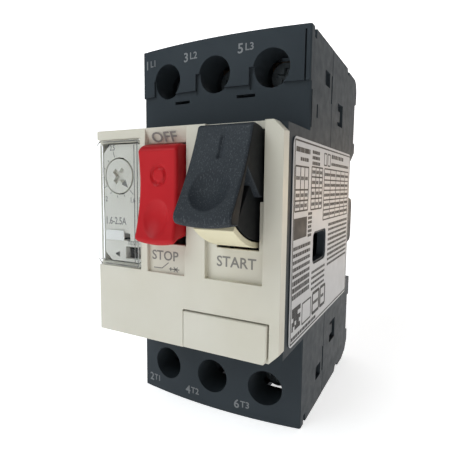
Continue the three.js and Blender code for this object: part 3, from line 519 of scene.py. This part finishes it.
def lettering(name, words, place, height, body, slot, material, lean=0, width=1.0, on=None):
    """Generic words in the built-in face, centred on a place and facing forward, or leaning back."""
    text = bpy.data.curves.new(name, "FONT")
    text.body = words
    text.align_x = "CENTER"
    text.align_y = "CENTER"
    text.size = height * TEXT_SIZE * MM
    text.extrude = LETTER_DEPTH * MM
    text.offset = BOLD * height * MM
    text.resolution_u = 3
    thing = bpy.data.objects.new(name, text)
    bpy.context.collection.objects.link(thing)
    bpy.context.view_layer.update()
    mesh = bpy.data.meshes.new_from_object(thing.evaluated_get(bpy.context.evaluated_depsgraph_get()))
    bpy.data.objects.remove(thing)
    turned = Matrix.Rotation(math.radians(90 + lean), 4, "X")
    mesh.transform(Matrix.Translation(place) @ turned @ Matrix.Diagonal((width, 1, 1, 1)))
    if on:
        lay_on(mesh, on, place)
    piece(name, mesh, body, material, slot)


def strokes(name, lines, basis, thickness, body, slot, material):
    """Thin raised bars along 2-D lines, laid on a surface by basis(a, b, height)."""
    points, faces = [], []
    for (a0, b0), (a1, b1) in lines:
        along = Vector((a1 - a0, b1 - b0))
        side = Vector((-along.y, along.x)).normalized() * thickness / 2
        corners = [(a0 + side.x, b0 + side.y), (a0 - side.x, b0 - side.y), (a1 - side.x, b1 - side.y),
                   (a1 + side.x, b1 + side.y)]
        first = len(points)
        for height in (0, LIFT):
            points += [basis(a, b, height) for a, b in corners]
        faces += [tuple(first + k for k in face) for face in
                  ((0, 1, 2, 3), (7, 6, 5, 4), (0, 4, 5, 1), (1, 5, 6, 2), (2, 6, 7, 3), (3, 7, 4, 0))]
    piece(name, closed_mesh(name, points, faces), body, material, slot)


def facing_front(d):
    """A basis for strokes on a surface that faces forward, d in front of the rear plane."""
    return lambda a, b, height: at(a, d + height, b)


def around_dial(radius, degrees):
    angle = math.radians(degrees)
    return DIAL_X + radius * math.cos(angle), DIAL_Z + radius * math.sin(angle)


def cover_marks():
    """The button names and the switch sign."""
    lettering("word_stop", "STOP", at(-4.2, STOP_FLOOR + LIFT, 40.0), height=2.05, **ON_COVER)
    lettering("word_start", "START", at(12.8, START_FLOOR + LIFT, 40.1), height=2.1, **ON_COVER)
    over_stop = at(-4.1, RAMP_FRONT + LIFT, 65.2)
    lettering("word_off", "OFF", over_stop, height=2.2, lean=RAMP_SLOPE, width=1.2, **ON_COVER)
    level = 37.3  # z of the sign's line
    blade = [((-7.2, level), (-5.0, level)), ((-5.0, level), (-3.3, 38.6)), ((-3.1, level), (-0.5, level))]
    crossbar = [((-2.7, level - 0.4), (-2.7, level + 0.4))]
    cross = [((-1.9, level - 0.5), (-0.9, level + 0.5)), ((-1.9, level + 0.5), (-0.9, level - 0.5))]
    strokes("switch_sign", blade + crossbar + cross, facing_front(STOP_FLOOR), 0.22, **ON_COVER)


def plate_marks():
    """The dial's scale and numbers, and the word and arrow for the TEST slider."""
    # each with its name, letters, x, z, height and how much it is widened
    words = (("word_test", "TEST", -13.3, 42.05, 0.95, 1.0),
             ("dial_range", "1.6-2.5A", -18.2, 46.9, 1.65, 0.78),
             ("dial_number_2.5", "2.5", -18.9, 63.5, 1.2, 0.75),
             ("dial_number_2", "2", -20.9, 51.9, 1.2, 0.75),
             ("dial_number_1.6", "1.6", -13.1, 51.8, 1.2, 0.75))
    for name, letters, x, z, height, width in words:
        lettering(name, letters, at(x, SETTING_FRONT + LIFT, z), height, width=width, **ON_COVER)
    numbered, tick_count, tick_turn = (0, 4, 8), 9, 26
    start, long_tick, short_tick = DIAL_RADIUS + 0.5, 1.4, 0.5
    ticks = []
    for step in range(tick_count):
        end = start + (long_tick if step in numbered else short_tick)
        degrees = DIAL_SETTING - tick_turn * step
        ticks.append((around_dial(start, degrees), around_dial(end, degrees)))
    strokes("dial_ticks", ticks, facing_front(SETTING_FRONT), 0.14, **ON_COVER)
    tip, base, fan = (-18.3, 39.3), -17.1, 0.25
    arrow = [(tip, (base, tip[1] + fan * k)) for k in (-2, -1, 0, 1, 2)]
    strokes("test_arrow", arrow, facing_front(SETTING_FRONT), 0.3, **ON_COVER)


def terminal_marks():
    """The number and letters of each terminal, on the bowed terminal faces."""
    figure_height, figure_shift = 2.1, -1.35
    letters_height, letters_shift, letters_rise = 1.55, 0.8, 0.2
    # the z of each row, then its marks with their x
    rows = ((85.5, (("1", "L1", -19.3), ("3", "L2", -6.5), ("5", "L3", 8.0))),
            (2.7, (("2", "T1", -18.5), ("4", "T2", -5.8), ("6", "T3", 8.2))))
    front = TERMINAL_FRONT + LIFT
    for z, marks in rows:
        for figure, letters, x in marks:
            place = at(x + figure_shift, front, z)
            lettering("mark_figure_" + figure, figure, place, figure_height, **ON_TERMINALS)
            place = at(x + letters_shift, front, z + letters_rise)
            lettering("mark_letters_" + figure, letters, place, letters_height, **ON_TERMINALS)


def window_edges():
    """Painted dark lines for the refraction that the thick edges of the clear window show along its top,
    foot and right side.
    """
    left, right = limits("window_cover", 0)
    low, high = limits("window_cover", 2)
    front = REAR / MM - limits("window_cover", 1)[0]
    outer, inner, clear_of_hinge = 0.3, 1.15, 2.2
    lines = [((right - inset, low + inset), (right - inset, high - inset)) for inset in (outer, inner)]
    lines += [((left + clear_of_hinge, z), (right - outer, z)) for z in (low + outer, high - outer)]
    strokes("window_edges", lines, facing_front(front), 0.2, "window", "clear_window", PAINTED_REFRACTION)


def dial_arrow():
    """The dark wedge on the dial that points at the setting."""
    tip, base, half, front = 3.7, 1.9, 0.75, SETTING_FRONT + 0.05
    angle = math.radians(DIAL_SETTING)
    outline = []
    for radius, side in ((base, -half), (tip, 0), (base, half)):
        x, z = around_dial(radius, DIAL_SETTING)
        outline.append((x - side * math.sin(angle), z + side * math.cos(angle)))
    points = [at(x, front + height, z) for height in (0, LIFT) for x, z in outline]
    mesh = bpy.data.meshes.new("dial_arrow")
    mesh.from_pydata(points, [], [(0, 1, 2), (5, 4, 3), (0, 3, 4, 1), (1, 4, 5, 2), (2, 5, 3, 0)])
    piece("dial_arrow", mesh, "dial", PRINT, "cream_cover")


# ---------------------------------------------------------------- side label

WEIGHTS = {"label_rules": 0.34, "label_heavy_print": 0.74, "label_bold_print": 1.0, "label_fine_print": 0.6}
RULES, HEAVY, BOLD_PRINT, FINE = WEIGHTS
SEED = 7
CELL_WORDS = (0.35, 0.7, 0.22)
CELL_MARGIN = 0.5
LEAST_MARK = 0.15  # a gap smaller than this at the end of a line stays empty


class LabelPrint:
    """Rules and short marks on the label, kept by weight. Places are (d, z), and d falls along a line.

    words is the shortest and the longest mark, and the gap between marks.
    """

    def __init__(self):
        self.lines = {weight: [] for weight in WEIGHTS}
        self.draw = random.Random(SEED)

    def outline(self, start, end, low, high, weight=RULES):
        corners = ((start, low), (end, low), (end, high), (start, high))
        self.lines[weight] += list(zip(corners, corners[1:] + corners[:1]))

    def marks(self, start, end, z, weight, words):
        """One line of marks from start back to end, like a line of words."""
        shortest, longest, gap = words
        place = start
        while place > end + LEAST_MARK:
            size = min(self.draw.uniform(shortest, longest), place - end)
            self.lines[weight].append(((place, z), (place - size, z)))
            place -= size + gap

    def rows(self, start, end, top, pitch, weights, words):
        """Lines of marks, one under another, each of its own weight."""
        for row, weight in enumerate(weights):
            self.marks(start, end, top - pitch * row, weight, words)

    def table(self, columns, levels):
        """Rules along every edge of a grid, with short marks in each cell."""
        self.outline(columns[0], columns[-1], levels[0], levels[-1])
        self.lines[RULES] += [((columns[0], z), (columns[-1], z)) for z in levels[1:-1]]
        self.lines[RULES] += [((d, levels[0]), (d, levels[-1])) for d in columns[1:-1]]
        for low, high in zip(levels, levels[1:]):
            for start, end in zip(columns, columns[1:]):
                self.marks(start - CELL_MARGIN, end + CELL_MARGIN, (low + high) / 2, HEAVY, CELL_WORDS)

    def bars(self, start, pitch, count, low, high):
        """A block of upright bars."""
        places = [start - pitch * step for step in range(count)]
        self.lines[BOLD_PRINT] += [((d, low), (d, high)) for d in places]

    def patch(self, start, low, pitch, rows, columns, size, filled):
        """A small patch of squares, with a share of them filled."""
        for row in range(rows):
            for column in range(columns):
                if self.draw.random() < filled:
                    d, z = start - column * pitch, low + row * pitch
                    self.lines[BOLD_PRINT].append(((d, z), (d - size, z)))


def label_print():
    """A generic rating label: ruled tables and lines of small marks that say nothing."""
    label = LabelPrint()
    # the border, and the heading over a small table
    label.outline(59.5, 7.7, 23.3, 64.3)
    label.marks(58.8, 49.5, 62.6, BOLD_PRINT, (2.2, 3.4, 0.25))
    label.marks(56.0, 50.5, 60.8, HEAVY, (0.8, 1.4, 0.3))
    label.table((58.9, 55.7, 53.0, 50.2), (50.3, 52.4, 54.6, 59.3))
    # short lines, two boxes and two long lines beside the heading
    label.rows(47.6, 41.5, 62.8, 1.2, [HEAVY] * 3, (0.6, 1.3, 0.25))
    for centre in (36.5, 33.0):
        label.outline(centre + 1.2, centre - 1.2, 60.4, 63.2)
    label.marks(30.5, 17.0, 62.9, BOLD_PRINT, (1.1, 2.2, 0.5))
    label.marks(30.5, 10.0, 61.0, HEAVY, (0.5, 1.0, 0.3))
    # the two large tables
    label.table((47.9, 44.6, 41.6, 38.8), (50.2, 52.6, 55.0, 57.4, 59.6))
    label.table((37.2, 31.0, 25.0, 19.4, 14.0, 9.3), (47.2, 49.6, 52.0, 54.4, 56.9, 59.6))
    # bars, and the blocks of marks around the side socket
    label.bars(58.6, 0.95, 9, 44.6, 48.9)
    label.rows(49.6, 46.8, 49.4, 0.95, [FINE] * 6, (0.5, 1.2, 0.2))
    label.rows(59.0, 47.4, 42.8, 1.42, [HEAVY] * 5 + [BOLD_PRINT] * 3, (0.45, 1.3, 0.25))
    label.rows(31.6, 9.0, 45.6, 1.3, [HEAVY, FINE, FINE] * 3, (0.4, 1.5, 0.28))
    label.rows(45.6, 34.0, 35.6, 1.3, [FINE] * 4, (0.4, 1.4, 0.28))
    # the patch, boxes and last line along the foot
    label.patch(58.8, 26.2, 0.95, 5, 6, 0.85, 0.6)
    label.outline(52.0, 45.6, 25.4, 30.0)
    for start, end in ((44.2, 38.6), (37.4, 33.0)):
        label.outline(start, end, 25.6, 30.4, HEAVY)
        label.marks(start - 0.8, end + 0.8, 28.0, HEAVY, (0.6, 1.2, 0.3))
    label.marks(59.0, 41.0, 24.2, HEAVY, (0.8, 2.0, 0.3))
    side = limits("side_label", 0)[1]
    for weight, thickness in WEIGHTS.items():
        strokes(weight, label.lines[weight], lambda d, z, height: at(side + height, d, z), thickness,
                "housing", "label_film", LABEL_PRINT)


# ---------------------------------------------------------------- the object

for name, node in frame["nodes"].items():
    node.data.materials.clear()
    node.data.materials.append(SLOT_MATERIALS[NODE_SLOT[name]])

# each solid with the width of its rounded edges
refined("front_housing", 0.22)
refined("rear_housing", 0.25)
refined("front_cover", 0.2)
refined("setting_plate", 0.1, material=PLATE)
# the dial shares the plate's brighter cream, which also lifts the shade in its cross recess as painted light
refined("current_dial", 0.1, material=PLATE)
refined("test_slider", 0.3, segments=3, material=WHITE)
refined("auxiliary_flap", 0.2)
refined("rail_clip", 0.25)
# the plunger takes the darker black as painted shade under the button
refined("start_plunger", 0.12, material=PAINTED_SHADE_BLACK)
refined("start_insert", 0.15)
refined("side_label", 0.03, segments=1)
refined("window_cover", 0.12)
for side in ("line", "load"):
    for pole in (1, 2, 3):
        # the screws take the darkened steel as painted shade of their deep holes
        refined(f"{side}_screw_{pole}", 0.12, material=SCREW_STEEL_IN_SHADE)

stop_button()
start_button()
cover_marks()
plate_marks()
terminal_marks()
window_edges()
dial_arrow()
label_print()

# ---------------------------------------------------------------- camera, light and floor

CAMERA_PLACE = at(47.69, 134.46, 55.32)
CAMERA_AZIMUTH = math.radians(28.10)  # to the right of straight ahead of the front
CAMERA_FALL = math.radians(5.768)  # how far it looks down
CAMERA_ROLL = math.radians(0.597)
LENS, SENSOR = 31.93, 36
WHITE_LIGHT = (1, 1, 1, 1)


def camera():
    """Looks at the object from where the picture was taken."""
    level = Vector((-math.sin(CAMERA_AZIMUTH), math.cos(CAMERA_AZIMUTH), 0))
    ahead = level * math.cos(CAMERA_FALL) - Vector((0, 0, math.sin(CAMERA_FALL)))
    right = Vector((math.cos(CAMERA_AZIMUTH), math.sin(CAMERA_AZIMUTH), 0))
    up = right.cross(ahead)
    turned_right = right * math.cos(CAMERA_ROLL) + up * math.sin(CAMERA_ROLL)
    turned_up = up * math.cos(CAMERA_ROLL) - right * math.sin(CAMERA_ROLL)
    data = bpy.data.cameras.new("camera")
    data.lens = LENS
    data.sensor_width = SENSOR
    data.clip_start = 0.01
    thing = bpy.data.objects.new("camera", data)
    bpy.context.collection.objects.link(thing)
    turn = Matrix((turned_right, turned_up, -ahead)).transposed().to_4x4()
    thing.matrix_world = Matrix.Translation(CAMERA_PLACE) @ turn
    bpy.context.scene.camera = thing


def area_light(name, place, target, size, power, colour):
    """A soft light, in metres and watts, turned to face its target."""
    data = bpy.data.lights.new(name, "AREA")
    data.shape = "RECTANGLE"
    data.size, data.size_y = size
    data.energy = power
    data.color = colour
    thing = bpy.data.objects.new(name, data)
    bpy.context.collection.objects.link(thing)
    thing.location = place
    thing.rotation_euler = (Vector(target) - Vector(place)).to_track_quat("-Z", "Y").to_euler()


def floor_material():
    """Pale card that glows a little, less close to the object and off to the right."""
    nodes = Nodes("pale_floor")
    pale = nodes.mix(nodes.noise(8), (0.93, 0.93, 0.93), (0.95, 0.95, 0.95))
    near_glow, far_glow, near, far = 0.7, 0.92, 0.15, 1.2
    side_share, dim_from, dim_to = 0.3, 0.12, 0.5
    glow = nodes.spread(nodes.distance(), near_glow, far_glow, near, far)
    across = nodes.add("ShaderNodeSeparateXYZ", Vector=nodes.place).outputs["X"]
    glow = nodes.times(glow, nodes.spread(across, 1, side_share, dim_from, dim_to))
    nodes.set(Base_Color=pale, Emission_Color=pale, Emission_Strength=glow)
    nodes.set(Roughness=0.8, Specular_IOR_Level=0.1)
    return nodes.material


def backdrop():
    """A pale floor that curves up behind the object into a wall, in metres."""
    bottom = CAD_BOUNDS[0][2]
    half, front, back, radius, top, steps = 12, -12, 1.2, 0.8, 3, 16
    bend = [math.pi / 2 * step / steps for step in range(steps + 1)]
    curve = [(back + radius * math.sin(angle), radius * (1 - math.cos(angle))) for angle in bend]
    outline = [(front, 0)] + curve + [(back + radius, top)]
    points = [(x, y, bottom + z) for x in (-half, half) for y, z in outline]
    count = len(outline)
    faces = [(k, k + count, k + count + 1, k + 1) for k in range(count - 1)]
    mesh = bpy.data.meshes.new("floor")
    mesh.from_pydata(points, [], faces)
    smooth(mesh)
    mesh.materials.append(floor_material())
    floor = bpy.data.objects.new("floor", mesh)
    bpy.context.collection.objects.link(floor)


def surroundings():
    """An even white all round, brightest at the horizon and dim overhead."""
    horizon, overhead, fade_end = 0.5, 0.1, 0.5
    world = bpy.data.worlds.new("world")
    bpy.context.scene.world = world
    world.use_nodes = True
    tree = world.node_tree
    direction = tree.nodes.new("ShaderNodeTexCoord").outputs["Generated"]
    parts = tree.nodes.new("ShaderNodeSeparateXYZ")
    fade = tree.nodes.new("ShaderNodeMapRange")
    fade.inputs["From Max"].default_value = fade_end
    fade.inputs["To Min"].default_value = horizon
    fade.inputs["To Max"].default_value = overhead
    light = tree.nodes["Background"]
    light.inputs["Color"].default_value = WHITE_LIGHT
    tree.links.new(direction, parts.inputs["Vector"])
    tree.links.new(parts.outputs["Z"], fade.inputs["Value"])
    tree.links.new(fade.outputs["Result"], light.inputs["Strength"])


def studio():
    """A cool key from the upper left, a weak warm fill, and a low warm glow from behind on the right."""
    area_light("key", (-0.26, -0.48, 0.54), (0, 0, 0.045), (0.4, 0.4), 2.4, (0.88, 0.96, 1.0))
    area_light("low_fill", (0.30, -0.55, 0.06), (0, 0, 0.03), (0.4, 0.16), 0.25, (1.0, 0.94, 0.82))
    area_light("side_glow", (0.30, 0.42, 0.04), (0.02, 0, 0.02), (0.35, 0.07), 0.3, (1.0, 0.66, 0.34))


camera()
backdrop()
surroundings()
studio()
bpy.context.scene.view_settings.view_transform = "Standard"
